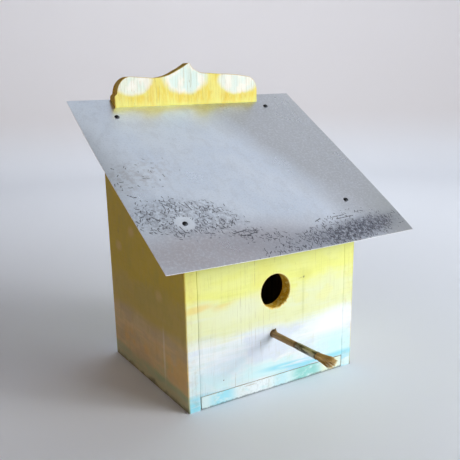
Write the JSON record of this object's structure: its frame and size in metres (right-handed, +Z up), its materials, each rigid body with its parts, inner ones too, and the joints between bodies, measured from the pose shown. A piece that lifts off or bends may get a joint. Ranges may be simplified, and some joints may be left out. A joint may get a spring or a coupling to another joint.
{
  "type": "birdhouse",
  "caption": "Lean-to wooden birdhouse with a sheet metal roof, a scroll-cut crest board, a round entrance and a paintbrush perch.",
  "frame": {"origin": "centre of the underside of the box, where it stands", "axes": "+Z up, -Y out of the entrance, +X to the right seen from behind the box's front looking along +Y"},
  "size_m": [0.409, 0.3906, 0.4711],
  "materials": {
    "left_side_wall": "thin colour wash over sawn softwood, matt",
    "right_side_wall": "thin colour wash over sawn softwood, matt",
    "front_panel": "thin colour wash over sawn softwood, matt",
    "back_panel": "thin colour wash over sawn softwood, matt",
    "clean_out_floor": "thin colour wash over sawn softwood, matt",
    "floor_stop_cleat": "bare sawn softwood",
    "roof_sheet": "galvanised, dull, scuffed",
    "roof_screws": "blackened",
    "front_panel_nails": "dull",
    "back_panel_nails": "dull",
    "cleat_brads": "dull, slightly rusted",
    "floor_pivot_nails": "dull",
    "perch_handle": "worn varnish",
    "perch_ferrule": "aged, tarnished",
    "perch_bristles": "natural bristle",
    "perch_wedge": "bare splinter"
  },
  "bodies": {
    "box": {"left_side_wall": "left_side_wall", "right_side_wall": "right_side_wall", "front_panel": "front_panel", "back_panel": "back_panel", "floor_stop_cleat": "floor_stop_cleat", "roof_sheet": "roof_sheet", "roof_screws": "roof_screws", "front_panel_nails": "front_panel_nails", "back_panel_nails": "back_panel_nails", "cleat_brads": "cleat_brads", "floor_pivot_nails": "floor_pivot_nails", "perch_handle": "perch_handle", "perch_ferrule": "perch_ferrule", "perch_bristles": "perch_bristles", "perch_wedge": "perch_wedge"},
    "floor": {"clean_out_floor": "clean_out_floor"}
  },
  "joints": [
    {"name": "floor_hinge", "type": "hinge", "parent": "box", "child": "floor", "pos_m": [0, 0.094, 0.0095], "axis": [1, 0, 0], "range_deg": [0, 90]}
  ]
}
